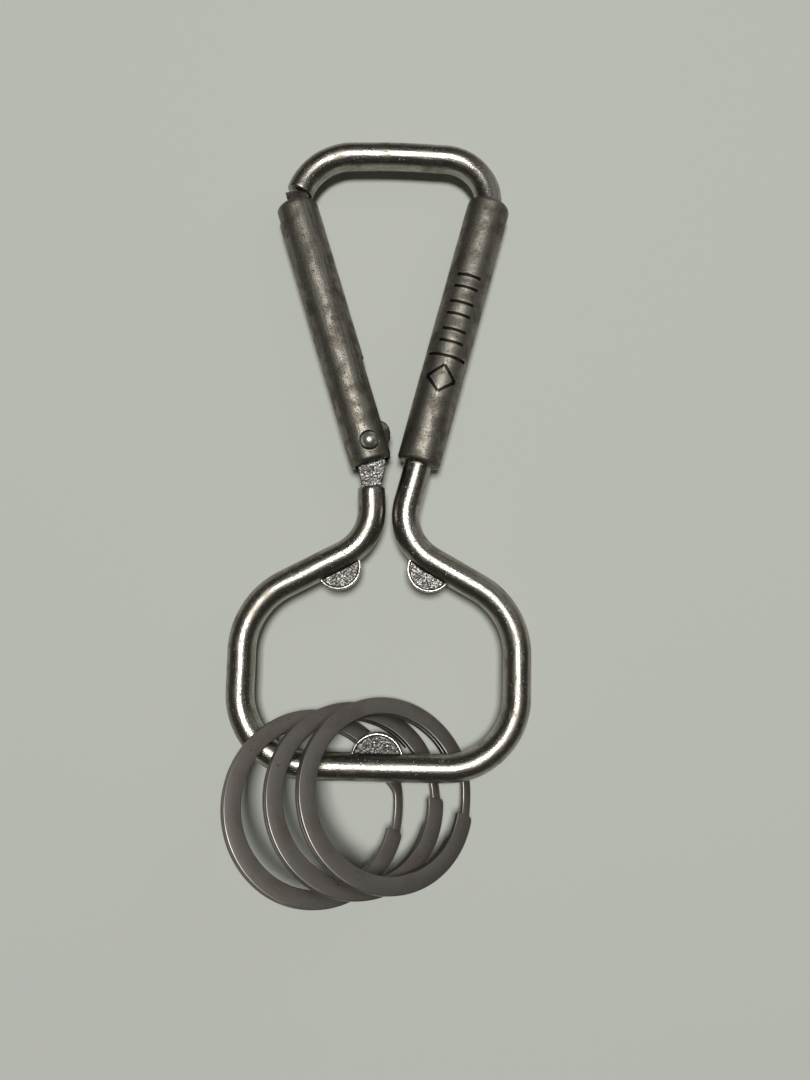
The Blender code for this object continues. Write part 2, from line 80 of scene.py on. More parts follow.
class Wire:
    """One output of a finish's nodes. Sums and products of wires add their Math nodes."""

    def __init__(self, finish, socket):
        self.finish = finish
        self.socket = socket

    def maths(self, operation, first, second):
        return self.finish.node(
            "ShaderNodeMath", {"operation": operation}, {0: first, 1: second}
        )

    def __add__(self, other):
        return self.maths("ADD", self, other)

    def __radd__(self, other):
        return self.maths("ADD", other, self)

    def __sub__(self, other):
        return self.maths("SUBTRACT", self, other)

    def __rsub__(self, other):
        return self.maths("SUBTRACT", other, self)

    def __mul__(self, other):
        return self.maths("MULTIPLY", self, other)

    def __rmul__(self, other):
        return self.maths("MULTIPLY", other, self)


class Finish:
    """A material whose Principled shader is fed by nodes made one at a time."""

    def __init__(self, name):
        self.material = bpy.data.materials.new(name)
        self.material.use_nodes = True
        self.tree = self.material.node_tree
        self.shader = self.tree.nodes["Principled BSDF"]

    def set(self, node, inputs):
        for key, value in inputs.items():
            if isinstance(value, Wire):
                self.tree.links.new(value.socket, node.inputs[key])
            else:
                node.inputs[key].default_value = value

    def node(self, kind, settings=None, inputs=None, output=0):
        made = self.tree.nodes.new(kind)
        for key, value in (settings or {}).items():
            setattr(made, key, value)
        self.set(made, inputs or {})
        return Wire(self, made.outputs[output])

    def blend(self, share, low, high):
        """A colour that goes from low to high with share."""
        return self.node(
            "ShaderNodeMix",
            {"data_type": "RGBA"},
            {0: share, 6: low, 7: high},
            output=MIXED_COLOUR,
        )

    def step(self, value, low, high):
        """0 below low, 1 above high and smooth between them."""
        return self.node(
            "ShaderNodeMapRange",
            {"interpolation_type": "SMOOTHSTEP"},
            {"Value": value, "From Min": low, "From Max": high},
        )

    def stretched(self, source, scales):
        """Coordinates scaled along each axis, to lengthen or shorten a pattern."""
        return self.node(
            "ShaderNodeVectorMath", {"operation": "MULTIPLY"}, {0: source, 1: scales}
        )

    def mottle(self, source, scale, detail):
        """Cloudy variation from 0 to 1 at the given number of patches a metre."""
        return self.node(
            "ShaderNodeTexNoise",
            {},
            {"Vector": source, "Scale": scale, "Detail": detail},
        )

    def recorded(self, name, output):
        """What a mesh keeps at its points under a name, as a number or a vector."""
        return self.node(
            "ShaderNodeAttribute", {"attribute_name": name}, output=output
        )

    def metal(self, colour, roughness, height, distance):
        """Bare metal, with its height pattern raised by a distance in metres."""
        bump = self.node(
            "ShaderNodeBump",
            {},
            {"Strength": 1.0, "Distance": distance, "Height": height},
        )
        self.set(
            self.shader,
            {
                "Base Color": colour,
                "Metallic": 1.0,
                "Roughness": roughness,
                "Normal": bump,
            },
        )
        return self.material


floor_mesh = bpy.data.meshes.new("table_top")
half_floor = FLOOR_SIZE / 2
floor_mesh.from_pydata(
    [
        (-half_floor, -half_floor, 0.0),
        (half_floor, -half_floor, 0.0),
        (half_floor, half_floor, 0.0),
        (-half_floor, half_floor, 0.0),
    ],
    [],
    [(0, 1, 2, 3)],
)
floor = bpy.data.objects.new("table_top", floor_mesh)
scene.collection.objects.link(floor)
table_finish = Finish("pale_table")
table_finish.set(
    table_finish.shader,
    {"Base Color": (*FLOOR_COLOUR, 1.0), "Roughness": TABLE_ROUGH},
)
floor_mesh.materials.append(table_finish.material)


def hang_lamp(name, place, size, power):
    """A square soft lamp at place that faces the ring."""
    lamp = bpy.data.lights.new(name, "AREA")
    lamp.size = size
    lamp.energy = power
    holder = bpy.data.objects.new(name, lamp)
    holder.location = place
    holder.rotation_euler = (LOOK_AT - Vector(place)).to_track_quat("-Z", "Y").to_euler()
    scene.collection.objects.link(holder)


lean = math.radians(LAMP_LEAN_DEG)
hang_lamp(
    "top_lamp",
    (LOOK_AT.x, LOOK_AT.y + LAMP_HEIGHT * math.tan(lean), LAMP_HEIGHT),
    LAMP_SIZE,
    LAMP_POWER,
)
hang_lamp("fill_lamp", FILL_PLACE, FILL_SIZE, FILL_POWER)

room = bpy.data.worlds.new("dim_room")
room.use_nodes = True
room.node_tree.nodes["Background"].inputs["Color"].default_value = (*ROOM_COLOUR, 1.0)
scene.world = room
scene.view_settings.view_transform = "Standard"

toward_camera = Vector((0.0, -math.sin(VIEW_TILT), math.cos(VIEW_TILT)))
level_up = Vector((0.0, math.cos(VIEW_TILT), math.sin(VIEW_TILT)))
level_right = Vector((1.0, 0.0, 0.0))
view_right = level_right * math.cos(VIEW_ROLL) + level_up * math.sin(VIEW_ROLL)
view_up = level_up * math.cos(VIEW_ROLL) - level_right * math.sin(VIEW_ROLL)
camera_at = LOOK_AT + toward_camera * VIEW_DISTANCE
camera_data = bpy.data.cameras.new("camera")
camera_data.lens = LENS_MM
camera_data.sensor_width = SENSOR_MM
camera_data.clip_start = CLIP_START
camera = bpy.data.objects.new("camera", camera_data)
camera.matrix_world = Matrix(
    (
        (view_right.x, view_up.x, toward_camera.x, camera_at.x),
        (view_right.y, view_up.y, toward_camera.y, camera_at.y),
        (view_right.z, view_up.z, toward_camera.z, camera_at.z),
        (0.0, 0.0, 0.0, 1.0),
    )
)
scene.collection.objects.link(camera)
scene.camera = camera


# ---------------------------------------------------------------- casting
# The body is one zinc die casting: a round bar that makes the opener loop, the waist and
# the hook, with a thicker sleeve down its right leg, three half-round tabs, a flat hinge
# tang and a latch tongue. Its antique finish is dark where it isn't rubbed.

BAR_R = 0.0022
SLEEVE_R = 0.0035
SLEEVE_LENGTH = 0.0449
SLEEVE_FROM_WAIST = 0.0126
SLEEVE_LOW_EDGE = 0.0007
SLEEVE_TOP_EDGE = 0.0012
HALF_LOOP = 0.02125
LOOP_CORNER_R = 0.0110
SHOULDER_Y = 0.0242
SHOULDER_R = 0.0118
WAIST_LEFT = Vector((-0.0015, 0.0347))
WAIST_RIGHT = Vector((0.0023, 0.0347))
WAIST_R = 0.0081
HOOK_LEFT = Vector((-0.0188, 0.0979))
HOOK_RIGHT = Vector((0.0180, 0.0979))
HOOK_CROWN = 0.0007
HOOK_CROWN_R = 0.1000
HOOK_LEFT_R = 0.0092
HOOK_RIGHT_R = 0.0076
NOSE_DROP = 0.0070
NOSE_GAP = 0.0019
PIVOT = Vector((-0.00235, 0.0499))
PIVOT_OFFSET = 0.0005
GATE_AIM_X = 0.0005
GATE_R = 0.0035
GATE_WALL = 0.00075
SLOT_WALL_X = -(GATE_R - GATE_WALL)
TANG_LENGTH = 0.0069
TANG_T = 0.0024
TANG_FOOT_W = 0.0030
TANG_SHOULDER_W = 0.0046
TANG_FLARE = 0.0036
CAM_AT = (0.0016, 0.0013)
CAM_R = 0.0021
PART_GAP = 0.0003
SIDE_CLEARANCE = 0.0002
TONGUE_T = 0.0022
TONGUE_W = 0.0036
TONGUE_IN = 0.0007
TONGUE_ENGAGEMENT = 0.0026
TAB_R = 0.0036
TAB_OFFSET = 0.0014
BAR_TAB_R = 0.0041
BAR_TAB_OFFSET = 0.0011
TAB_FROM_WAIST = 0.0067
TAB_TOP = 0.0007
TAB_BOTTOM = -0.0011
TAB_RIM = 0.0005
TAB_RECESS = 0.00025
TAB_EDGE = 0.00016
RIVET_SHANK_R = 0.0010
RUNNING_FIT = 0.0001
BAR_SIDES = 64
BAR_STEP = 0.0006
BAR_END_EDGE = 0.00035
BAR_END_STEPS = 5
ROUND_SIDES = 64
SLEEVE_SIDES = 96
SLEEVE_EDGE_STEPS = 8
TAB_TURN_STEPS = 96
TAB_FACE_STEPS = 26
ARC_STEP = math.radians(2.5)
ARC_LEAST = 4
WELD = 1e-7
REMESH_SIZE = 0.00011
SMOOTHINGS = 2
# How deep the surface is dressed by hand, and the size of the patches that this leaves
BAR_DRESSED = 0.00004
BAR_DRESSED_PATCH = 0.0034
BAR_FINE = 0.000015
BAR_FINE_PATCH = 0.0011
SLEEVE_DRESSED = 0.00005
SLEEVE_DRESSED_PATCH = 0.0038
SLEEVE_FINE_PATCH = 0.0012
TANG_DRESSED = 0.00010
TANG_PATCH = 0.0007
TONGUE_DRESSED = 0.00008
TONGUE_PATCH = 0.0006
TAB_FACE_DEEP = 0.00005
TAB_FACE_PATCH = 0.00036

# The casting's own plane: X across, Y from the bottom bar to the hook, Z through it
joints = {joint["name"]: joint for joint in frame["joints"]}
hinge = joints["gate_hinge"]
plane_z = -Vector(hinge["axis"]).normalized()
plane_x = Vector((1.0, 0.0, 0.0))
plane_y = plane_z.cross(plane_x)
plane_at = Vector(hinge["pos_m"]) - plane_x * PIVOT.x - plane_y * PIVOT.y
lie_flat = Matrix(
    (
        (plane_x.x, plane_y.x, plane_z.x, plane_at.x),
        (plane_x.y, plane_y.y, plane_z.y, plane_at.y),
        (plane_x.z, plane_y.z, plane_z.z, plane_at.z),
        (0.0, 0.0, 0.0, 1.0),
    )
)

aim = HOOK_LEFT + Vector((GATE_AIM_X, 0.0))
reach = (aim - PIVOT).length
gate_up = Matrix.Rotation(-math.asin(PIVOT_OFFSET / reach), 2) @ ((aim - PIVOT) / reach)
gate_in = Vector((gate_up.y, -gate_up.x))
axis_foot = PIVOT - gate_in * PIVOT_OFFSET
nose_at = (HOOK_LEFT - axis_foot).dot(gate_up) - NOSE_DROP
gate_top = nose_at - NOSE_GAP
gate_place = Matrix(
    (
        (gate_in.x, gate_up.x, 0.0, axis_foot.x),
        (gate_in.y, gate_up.y, 0.0, axis_foot.y),
        (0.0, 0.0, 1.0, 0.0),
        (0.0, 0.0, 0.0, 1.0),
    )
)


def skin(name, loops, runs, rims=None):
    """A closed solid through a chain of equal loops. Runs give each point its place
    along and across the piece, which its finish follows, and rims how strong a painted
    highlight it gets."""
    count = len(loops[0])
    faces = []
    for here in range(len(loops) - 1):
        for side in range(count):
            after = (side + 1) % count
            faces.append(
                (
                    here * count + side,
                    here * count + after,
                    (here + 1) * count + after,
                    (here + 1) * count + side,
                )
            )
    faces.append(tuple(reversed(range(count))))
    faces.append(tuple(range((len(loops) - 1) * count, len(loops) * count)))
    mesh = bpy.data.meshes.new(name)
    mesh.from_pydata([p for loop in loops for p in loop], [], faces)
    note = mesh.attributes.new("run", "FLOAT_VECTOR", "POINT")
    note.data.foreach_set("vector", [v for run in runs for p in run for v in p])
    if rims:
        note = mesh.attributes.new("rim", "FLOAT", "POINT")
        note.data.foreach_set("value", rims * len(loops))
    bm = bmesh.new()
    bm.from_mesh(mesh)
    bmesh.ops.remove_doubles(bm, verts=bm.verts, dist=WELD)
    bmesh.ops.recalc_face_normals(bm, faces=bm.faces)
    bm.to_mesh(mesh)
    bm.free()
    item = bpy.data.objects.new(name, mesh)
    scene.collection.objects.link(item)
    return item


def evaluated(item):
    """Apply an object's modifiers to its mesh."""
    depsgraph = bpy.context.evaluated_depsgraph_get()
    mesh = bpy.data.meshes.new_from_object(item.evaluated_get(depsgraph))
    item.modifiers.clear()
    item.data = mesh


def combine(base, others, operation):
    """Join solids to base, or cut them from it, and use them up."""
    for other in others:
        modifier = base.modifiers.new(other.name, "BOOLEAN")
        modifier.operation = operation
        modifier.solver = "EXACT"
        modifier.object = other
    evaluated(base)
    for other in others:
        bpy.data.objects.remove(other, do_unlink=True)
    return base


def round_corners(corners):
    """Straight runs between corners (x, y, radius), with a fine arc at each one."""
    points = [Vector(corners[0][:2])]
    for before, here, after in zip(corners, corners[1:], corners[2:]):
        corner = Vector(here[:2])
        back = (Vector(before[:2]) - corner).normalized()
        ahead = (Vector(after[:2]) - corner).normalized()
        half = back.angle(ahead) / 2
        centre = corner + (back + ahead).normalized() * (here[2] / math.sin(half))
        tangent = here[2] / math.tan(half)
        first = corner + back * tangent - centre
        last = corner + ahead * tangent - centre
        start = math.atan2(first.y, first.x)
        sweep = math.atan2(first.cross(last), first.dot(last))
        steps = max(ARC_LEAST, math.ceil(abs(sweep) / ARC_STEP))
        for step in range(steps + 1):
            turn = start + sweep * step / steps
            points.append(centre + Vector((math.cos(turn), math.sin(turn))) * here[2])
    points.append(Vector(corners[-1][:2]))
    return points


def cut_route(points, stop, direction):
    """Keep the route up to the plane through stop that faces along direction."""
    kept = [points[0]]
    for here, ahead in zip(points, points[1:]):
        before = (here - stop).dot(direction)
        beyond = (ahead - stop).dot(direction)
        if before < 0.0 <= beyond:
            kept.append(here + (ahead - here) * (before / (before - beyond)))
            return kept
        kept.append(ahead)
    return kept


def even_steps(points, step):
    """Add points on the long straight runs of a route."""
    spaced = [points[0]]
    for here, ahead in zip(points, points[1:]):
        parts = max(1, round((ahead - here).length / step))
        for part in range(1, parts + 1):
            spaced.append(here + (ahead - here) * part / parts)
    return spaced


def hand_finish(place, deep, patch):
    """How far a cast surface is dressed below its full size at a place, in metres."""
    return deep * (0.5 + 0.5 * noise.noise(Vector(place) / patch))


def round_bar(name, points, radius, end_edge):
    """A round bar along a flat route, with softened ends and a hand-dressed surface."""
    tangents = []
    for number in range(len(points)):
        before = points[max(0, number - 1)]
        after = points[min(len(points) - 1, number + 1)]
        tangents.append((after - before).normalized())
    stations = []
    for step in range(BAR_END_STEPS):
        turn = math.pi / 2 * step / BAR_END_STEPS
        inset = end_edge * (1 - math.sin(turn))
        place = points[0] + tangents[0] * end_edge * (1 - math.cos(turn))
        stations.append((place, tangents[0], radius - inset))
    far = []
    for place, _, size in reversed(stations):
        from_end = (place - points[0]).length
        far.append((points[-1] - tangents[-1] * from_end, tangents[-1], size))
    for point, tangent in zip(points, tangents):
        nearest = min((point - points[0]).length, (point - points[-1]).length)
        if nearest >= end_edge:
            stations.append((point, tangent, radius))
    stations += far
    loops = []
    runs = []
    along = 0.0
    last = stations[0][0]
    for point, tangent, size in stations:
        along += (point - last).length
        last = point
        side = Vector((tangent.y, -tangent.x))
        loop = []
        run = []
        for number in range(BAR_SIDES):
            turn = 2 * math.pi * number / BAR_SIDES
            out = Vector(
                (side.x * math.cos(turn), side.y * math.cos(turn), math.sin(turn))
            )
            centre = Vector((point.x, point.y, 0.0))
            place = centre + out * size
            dressed = hand_finish(place, BAR_DRESSED, BAR_DRESSED_PATCH)
            dressed += hand_finish(place, BAR_FINE, BAR_FINE_PATCH)
            loop.append(centre + out * (size - dressed))
            run.append((along, size * math.cos(turn), size * math.sin(turn)))
        loops.append(loop)
        runs.append(run)
    return skin(name, loops, runs)


def turned(name, profile, start, along, sides, wander=0.0):
    """A solid turned round an axis in the plane, from a profile (radius, distance)."""
    side = Vector((along.y, -along.x, 0.0))
    ahead = Vector((along.x, along.y, 0.0))
    foot = Vector((start.x, start.y, 0.0))
    loops = []
    runs = []
    for radius, distance in profile:
        loop = []
        run = []
        for number in range(sides):
            turn = 2 * math.pi * number / sides
            out = side * math.cos(turn) + Vector((0.0, 0.0, math.sin(turn)))
            place = foot + ahead * distance + out * radius
            if wander > 0.0:
                place -= out * hand_finish(place, wander, SLEEVE_DRESSED_PATCH)
                place -= out * hand_finish(place, wander / 3, SLEEVE_FINE_PATCH)
            loop.append(place)
            run.append((distance, radius * math.cos(turn), radius * math.sin(turn)))
        loops.append(loop)
        runs.append(run)
    return skin(name, loops, runs)


def softened(length, radius, low_edge, top_edge, core, step):
    """Profile of a plain sleeve with its two end edges rounded, ends closed to core."""
    profile = [(core, 0.0)]
    for number in range(SLEEVE_EDGE_STEPS + 1):
        turn = math.pi / 2 * number / SLEEVE_EDGE_STEPS
        profile.append(
            (radius - low_edge * (1 - math.sin(turn)), low_edge * (1 - math.cos(turn)))
        )
    parts = round((length - low_edge - top_edge) / step)
    for part in range(1, parts):
        profile.append(
            (radius, low_edge + (length - low_edge - top_edge) * part / parts)
        )
    for number in range(SLEEVE_EDGE_STEPS + 1):
        turn = math.pi / 2 * (1 - number / SLEEVE_EDGE_STEPS)
        profile.append(
            (
                radius - top_edge * (1 - math.sin(turn)),
                length - top_edge * (1 - math.cos(turn)),
            )
        )
    profile.append((core, length))
    return profile


def slab(name, outline, low, high):
    """A flat plate between two heights, with the given outline."""
    bottom = [Vector((x, y, low)) for x, y in outline]
    top = [Vector((x, y, high)) for x, y in outline]
    loops = [bottom, top]
    return skin(name, loops, [[tuple(p) for p in loop] for loop in loops])


def disc(name, centre, radius, low, high):
    """A round plate between two heights."""
    turns = [2 * math.pi * number / ROUND_SIDES for number in range(ROUND_SIDES)]
    outline = [
        (centre[0] + radius * math.cos(turn), centre[1] + radius * math.sin(turn))
        for turn in turns
    ]
    return slab(name, outline, low, high)


def rough_cast(item, relief, patch):
    """Give a flat-sided piece the rounded edges and hammered skin of an as-cast face."""
    remesh = item.modifiers.new("skin", "REMESH")
    remesh.mode = "VOXEL"
    remesh.voxel_size = REMESH_SIZE
    smooth = item.modifiers.new("soften", "SMOOTH")
    smooth.iterations = SMOOTHINGS
    evaluated(item)
    mesh = item.data
    for vertex in mesh.vertices:
        low = hand_finish(vertex.co, relief, patch)
        low += hand_finish(vertex.co, relief / 2, patch / 3)
        vertex.co = vertex.co - vertex.normal * low
    note = mesh.attributes.get("run")
    note = note or mesh.attributes.new("run", "FLOAT_VECTOR", "POINT")
    note.data.foreach_set("vector", [v for vertex in mesh.vertices for v in vertex.co])
    return item


def make_tab(name, foot, inward, radius, offset):
    """A half-round tab: a raised rim round a sunk, crystalline face."""
    middle = foot + inward * offset
    facing = math.atan2(inward.y, inward.x)
    sweep = math.pi / 2 + math.asin(offset / radius)
    face_z = TAB_TOP - TAB_RECESS
    face_r = radius - TAB_RIM
    third = TAB_EDGE / 3
    section = [
        (0.0, TAB_BOTTOM),
        (radius - TAB_EDGE, TAB_BOTTOM),
        (radius - third, TAB_BOTTOM + third),
        (radius, TAB_BOTTOM + TAB_EDGE),
        (radius, TAB_TOP - TAB_EDGE),
        (radius - third, TAB_TOP - third),
        (radius - TAB_EDGE, TAB_TOP),
        (face_r + TAB_EDGE, TAB_TOP),
        (face_r + third, TAB_TOP - third),
        (face_r - third, face_z),
    ]
    section += [
        ((face_r - TAB_EDGE) * (1 - step / TAB_FACE_STEPS), face_z)
        for step in range(TAB_FACE_STEPS + 1)
    ]
    loops = []
    for number in range(TAB_TURN_STEPS + 1):
        turn = facing - sweep + 2 * sweep * number / TAB_TURN_STEPS
        loop = []
        for r, z in section:
            x = middle.x + r * math.cos(turn)
            y = middle.y + r * math.sin(turn)
            sunk = 0.0
            if z == face_z:
                sunk = hand_finish((x, y, z), TAB_FACE_DEEP, TAB_FACE_PATCH)
            loop.append(Vector((x, y, z - sunk)))
        loops.append(loop)
    return skin(name, loops, [[tuple(p) for p in loop] for loop in loops])


waist_to_hook = (HOOK_RIGHT - WAIST_RIGHT).normalized()
sleeve_start = WAIST_RIGHT + waist_to_hook * SLEEVE_FROM_WAIST
shoulder_left = Vector((-HALF_LOOP, SHOULDER_Y))
shoulder_right = Vector((HALF_LOOP, SHOULDER_Y))
hook_middle = (HOOK_LEFT + HOOK_RIGHT) / 2 + Vector((0.0, HOOK_CROWN))
leg = (WAIST_LEFT - PIVOT).normalized()
leg_side = Vector((-leg.y, leg.x))
bar_end = PIVOT + leg * TANG_LENGTH
route = round_corners(
    [
        (*bar_end, 0.0),
        (*WAIST_LEFT, WAIST_R),
        (*shoulder_left, SHOULDER_R),
        (-HALF_LOOP, 0.0, LOOP_CORNER_R),
        (HALF_LOOP, 0.0, LOOP_CORNER_R),
        (*shoulder_right, SHOULDER_R),
        (*WAIST_RIGHT, WAIST_R),
        (*HOOK_RIGHT, HOOK_RIGHT_R),
        (*hook_middle, HOOK_CROWN_R),
        (*HOOK_LEFT, HOOK_LEFT_R),
        (*axis_foot, 0.0),
    ]
)
route = cut_route(route, axis_foot + gate_up * nose_at, -gate_up)
casting = round_bar("casting", even_steps(route, BAR_STEP), BAR_R, BAR_END_EDGE)

sleeve_profile = softened(
    SLEEVE_LENGTH, SLEEVE_R, SLEEVE_LOW_EDGE, SLEEVE_TOP_EDGE, BAR_R / 2, BAR_STEP
)
sleeve = turned(
    "sleeve", sleeve_profile, sleeve_start, waist_to_hook, SLEEVE_SIDES, SLEEVE_DRESSED
)


def on_gate(x, y):
    """A place given across and along the gate, in the casting's plane."""
    place = gate_place @ Vector((x, y, 0.0))
    return (place.x, place.y)


eye_r = PIVOT_OFFSET - SLOT_WALL_X - PART_GAP
root = bar_end + leg * PART_GAP
foot = leg_side * (TANG_FOOT_W / 2)
tang_out = SLOT_WALL_X + PART_GAP
tang_in = tang_out + TANG_SHOULDER_W
tang = slab(
    "tang",
    [
        tuple(root + foot),
        on_gate(tang_in, -TANG_FLARE),
        on_gate(tang_in, 0.0),
        on_gate(tang_out, 0.0),
        on_gate(tang_out, -TANG_FLARE),
        tuple(root - foot),
    ],
    -TANG_T / 2,
    TANG_T / 2,
)
eye = disc("eye", PIVOT, eye_r, -TANG_T / 2, TANG_T / 2)
cam_place = PIVOT + gate_in * CAM_AT[0] + gate_up * CAM_AT[1]
cam = disc("cam", cam_place, CAM_R, -TANG_T / 2, TANG_T / 2)
tang = rough_cast(combine(tang, [eye, cam], "UNION"), TANG_DRESSED, TANG_PATCH)

tongue_low = gate_top - TONGUE_ENGAGEMENT
tongue_high = nose_at + PART_GAP
tongue = slab(
    "tongue",
    [
        on_gate(TONGUE_IN - TONGUE_W / 2, tongue_low),
        on_gate(TONGUE_IN + TONGUE_W / 2, tongue_low),
        on_gate(TONGUE_IN + TONGUE_W / 2, tongue_high),
        on_gate(TONGUE_IN - TONGUE_W / 2, tongue_high),
    ],
    -TONGUE_T / 2,
    TONGUE_T / 2,
)
tongue = rough_cast(tongue, TONGUE_DRESSED, TONGUE_PATCH)

slope_left = (shoulder_left - WAIST_LEFT).normalized()
slope_right = (shoulder_right - WAIST_RIGHT).normalized()
tabs = [
    make_tab(
        "tab_left",
        WAIST_LEFT + slope_left * TAB_FROM_WAIST,
        Vector((-slope_left.y, slope_left.x)),
        TAB_R,
        TAB_OFFSET,
    ),
    make_tab(
        "tab_right",
        WAIST_RIGHT + slope_right * TAB_FROM_WAIST,
        Vector((slope_right.y, -slope_right.x)),
        TAB_R,
        TAB_OFFSET,
    ),
    make_tab(
        "tab_bar", Vector((0.0, 0.0)), Vector((0.0, 1.0)), BAR_TAB_R, BAR_TAB_OFFSET
    ),
]

# A plain maker's pattern is pressed into the sleeve: cross slots, a line and a lozenge
PATTERN_DEEP = 0.00028
PATTERN_LINE = 0.00050
PATTERN_HALF = 0.0019
PATTERN_AT = (0.0308, 0.0288, 0.0262, 0.0242, 0.0216, 0.0196)
LINE_AT = 0.0172
LINE_HALF = 0.0029
LOZENGE_AT = 0.0135
LOZENGE_HALF = 0.0022


def on_sleeve(across, along):
    """A place given across and along the fixed sleeve, in the casting's plane."""
    place = sleeve_start + waist_to_hook * along
    place = place + Vector((waist_to_hook.y, -waist_to_hook.x)) * across
    return (place.x, place.y)


def pressed_line(name, start, end, width):
    """A straight groove's cutter between two places (across, along) on the sleeve."""
    start = Vector(on_sleeve(*start))
    end = Vector(on_sleeve(*end))
    run = (end - start).normalized()
    side = Vector((-run.y, run.x)) * width / 2
    outline = [start + side, end + side, end - side, start - side]
    return slab(name, [tuple(p) for p in outline], SLEEVE_R / 3, 2 * SLEEVE_R)


strokes = [((-PATTERN_HALF, at), (PATTERN_HALF, at)) for at in PATTERN_AT]
strokes.append(((-LINE_HALF, LINE_AT), (LINE_HALF, LINE_AT)))
lozenge = [
    (0.0, LOZENGE_AT - LOZENGE_HALF),
    (LOZENGE_HALF, LOZENGE_AT),
    (0.0, LOZENGE_AT + LOZENGE_HALF),
    (-LOZENGE_HALF, LOZENGE_AT),
]
strokes += list(zip(lozenge, lozenge[1:] + lozenge[:1]))
grooves = [
    pressed_line(f"groove_{number}", start, end, PATTERN_LINE)
    for number, (start, end) in enumerate(strokes)
]
stamp = combine(grooves[0], grooves[1:], "UNION")
anvil = turned(
    "anvil",
    [(SLEEVE_R - PATTERN_DEEP, 0.0), (SLEEVE_R - PATTERN_DEEP, SLEEVE_LENGTH)],
    sleeve_start,
    waist_to_hook,
    SLEEVE_SIDES,
)
stamp = combine(stamp, [anvil], "DIFFERENCE")


# The outputs that give a kept vector, a place on the object and how bent a surface is
AS_VECTOR = 1
OBJECT_PLACE = 3
POINTINESS = 7
# Patterns of the casting's finishes: patches a metre, or where each starts and is full
PATCH_SCALE = 420.0
PATCH_BLEND = 0.24
STREAKS_A_METRE = (200.0, 2600.0, 2600.0)
STREAKED = (0.44, 0.62)
GRAIN_SCALE = 5200.0
GRAINED = (0.45, 0.65)
PIT_SCALE = 3300.0
PITTED = (0.62, 0.70)
EDGE_WORN = (0.515, 0.56)
CORNER_SUNK = (0.485, 0.44)
FINE_DETAIL = 4.0
PLAIN_DETAIL = 3.0
SOFT_DETAIL = 2.0
OXIDE = (0.030, 0.027, 0.023)


def antique(name, clean, dull, oxide, rough, grain_height, dullness):
    """Antique plating on a zinc casting: rubbed metal over a dark oxide, with a fine
    crystalline grain, lengthwise polishing streaks and mottled brown patches."""
    finish = Finish(name)
    place = finish.node("ShaderNodeTexCoord", output=OBJECT_PLACE)
    run = finish.recorded("run", AS_VECTOR)
    clouds = finish.mottle(place, PATCH_SCALE, FINE_DETAIL)
    patches = finish.step(clouds, dullness, dullness + PATCH_BLEND)
    streaks = finish.mottle(finish.stretched(run, STREAKS_A_METRE), 1.0, FINE_DETAIL)
    grain = finish.mottle(place, GRAIN_SCALE, PLAIN_DETAIL)
    pits = finish.step(finish.mottle(place, PIT_SCALE, SOFT_DETAIL), *PITTED)
    bend = finish.node("ShaderNodeNewGeometry", output=POINTINESS)
    edge_wear_and_highlight = finish.step(bend, *EDGE_WORN)
    sunk = finish.step(bend, *CORNER_SUNK)
    streaked = finish.step(streaks, *STREAKED) * 0.65
    grained = finish.step(grain, *GRAINED) * 0.45
    colour = finish.blend(patches, (*clean, 1.0), (*dull, 1.0))
    colour = finish.blend(streaked, colour, (*dull, 1.0))
    colour = finish.blend(grained, colour, (*clean, 1.0))
    colour = finish.blend(pits * 0.45, colour, (*oxide, 1.0))
    colour = finish.blend(sunk, colour, (*oxide, 1.0))
    colour = finish.blend(edge_wear_and_highlight * 0.7, colour, (*clean, 1.0))
    roughness = rough + patches * 0.12 + streaks * 0.16 + pits * 0.2 - edge_wear_and_highlight * 0.08
    height = grain * 0.7 + streaks * 0.5 - pits * 0.4
    return finish.metal(colour, roughness, height, grain_height)


bar_finish = antique(
    "antique_bar",
    clean=(0.40, 0.375, 0.325),
    dull=(0.20, 0.18, 0.145),
    oxide=OXIDE,
    rough=0.19,
    grain_height=0.000040,
    dullness=0.46,
)
sleeve_finish = antique(
    "antique_sleeve",
    clean=(0.29, 0.27, 0.23),
    dull=(0.12, 0.105, 0.082),
    oxide=OXIDE,
    rough=0.36,
    grain_height=0.000050,
    dullness=0.42,
)
CRYSTAL_CLOUDS = 3600.0
CRYSTAL_FINE = 8000.0
CRYSTALS_SHOW = (0.44, 0.74)
CRYSTAL_BRIGHT = (0.19, 0.185, 0.175)
CRYSTAL_HEIGHT = 0.00002


def crystalline(name):
    """As-cast zinc where nothing has rubbed it: bright crystals in black oxide."""
    finish = Finish(name)
    place = finish.node("ShaderNodeTexCoord", output=OBJECT_PLACE)
    cells = finish.node(
        "ShaderNodeTexVoronoi", {}, {"Vector": place, "Scale": GRAIN_SCALE}
    )
    cloud = finish.mottle(place, CRYSTAL_CLOUDS, FINE_DETAIL)
    fine = finish.mottle(place, CRYSTAL_FINE, SOFT_DETAIL)
    bright = finish.step(cloud + (fine - 0.5) * 0.9, *CRYSTALS_SHOW)
    colour = finish.blend(bright, (*OXIDE, 1.0), (*CRYSTAL_BRIGHT, 1.0))
    height = cloud + cells * 0.6 + fine * 0.4
    return finish.metal(colour, 0.50 - bright * 0.18, height, CRYSTAL_HEIGHT)


rough_finish = crystalline("crystalline_cast")
# Near-black finish: dark patina in the pressed pattern's grooves, and painted shade on
# the tongue, on the tang's end inside the gate, and inside the gate's slots, bore, rivet
# hole and seats
groove_patina_and_shade_metal = antique(
    "groove_patina_and_painted_shade",
    clean=(0.07, 0.065, 0.058),
    dull=(0.03, 0.027, 0.023),
    oxide=OXIDE,
    rough=0.44,
    grain_height=0.000018,
    dullness=0.42,
)
casting_finishes = (bar_finish, sleeve_finish, rough_finish, groove_patina_and_shade_metal)
PLAIN_BAR, DARK_SLEEVE, AS_CAST, PRESSED_AND_SHADED = range(len(casting_finishes))
REAL_EDGE_DEG = 32.0
FACES_UP = 0.3


